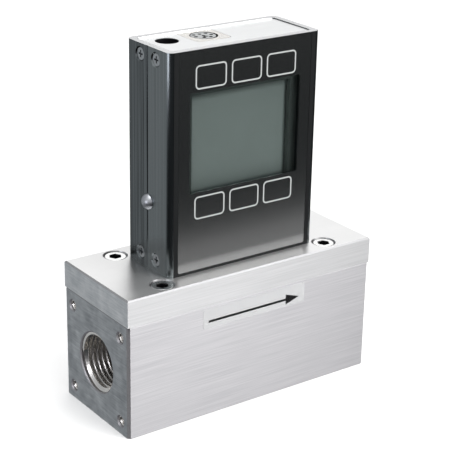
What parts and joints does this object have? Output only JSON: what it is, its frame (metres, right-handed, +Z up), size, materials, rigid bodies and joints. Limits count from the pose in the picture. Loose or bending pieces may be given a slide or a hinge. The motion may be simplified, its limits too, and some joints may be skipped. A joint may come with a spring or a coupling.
{
  "type": "mass flow meter",
  "caption": "Gas mass flow meter: a steel flow block with a threaded pipe port in each end, under an upright display head with a keypad label, a side button and sockets in its top.",
  "frame": {"origin": "centre of the flow block's bottom face", "axes": "+X along the flow from the inlet port to the outlet port, +Z up, the display faces -Y"},
  "size_m": [0.1016, 0.0407, 0.1264],
  "materials": {
    "stainless_steel": "brushed",
    "element_steel": "satin",
    "screw_steel": "polished",
    "black_anodised": "satin anodised",
    "bare_aluminium": "satin",
    "capacitor_can": "satin",
    "plated_shell": "nickel plated",
    "contact_brass": "satin",
    "overlay_film": "satin",
    "circuit_film": "matte",
    "clear_pane": "clear",
    "display_glass": "gloss",
    "light_guide": "satin",
    "black_plastic": "matte",
    "sensor_plastic": "matte",
    "circuit_board": "satin",
    "seal_rubber": "matte",
    "label_film": "satin"
  },
  "bodies": {
    "meter": {"flow_body": "stainless_steel", "top_plate": "stainless_steel", "laminar_element": "element_steel", "spacer_sleeve": "element_steel", "flow_straightener": "element_steel", "retaining_ring": "element_steel", "cover_screws": "screw_steel", "base_screws": "screw_steel", "shell_screws": "screw_steel", "sensor_screws": "screw_steel", "temperature_probe": "screw_steel", "front_shell": "black_anodised", "rear_shell": "black_anodised", "top_cap": "bare_aluminium", "base_block": "bare_aluminium", "smoothing_capacitor": "capacitor_can", "socket_shell": "plated_shell", "jack_pin": "plated_shell", "socket_contacts": "contact_brass", "sensor_standoffs": "contact_brass", "keypad_overlay": "overlay_film", "keypad_circuit": "circuit_film", "display_window": "clear_pane", "lcd_glass": "display_glass", "backlight_panel": "light_guide", "lcd_frame": "black_plastic", "socket_body": "black_plastic", "jack_body": "black_plastic", "board_connector": "black_plastic", "switch_housing": "black_plastic", "controller_chip": "black_plastic", "differential_sensor": "sensor_plastic", "absolute_sensor": "sensor_plastic", "main_board": "circuit_board", "sensor_board": "circuit_board", "element_seals": "seal_rubber", "channel_seals": "seal_rubber", "port_seals": "seal_rubber", "sensor_seals": "seal_rubber", "lcd_contact_strips": "seal_rubber", "flow_arrow_label": "label_film"},
    "side_button": {"side_button": "screw_steel", "switch_plunger": "sensor_plastic"}
  },
  "joints": [
    {"name": "side_button_press", "type": "slide", "parent": "meter", "child": "side_button", "axis": [1, 0, 0], "range_m": [0, 0.0008], "stiffness_N_per_m": 1500}
  ]
}
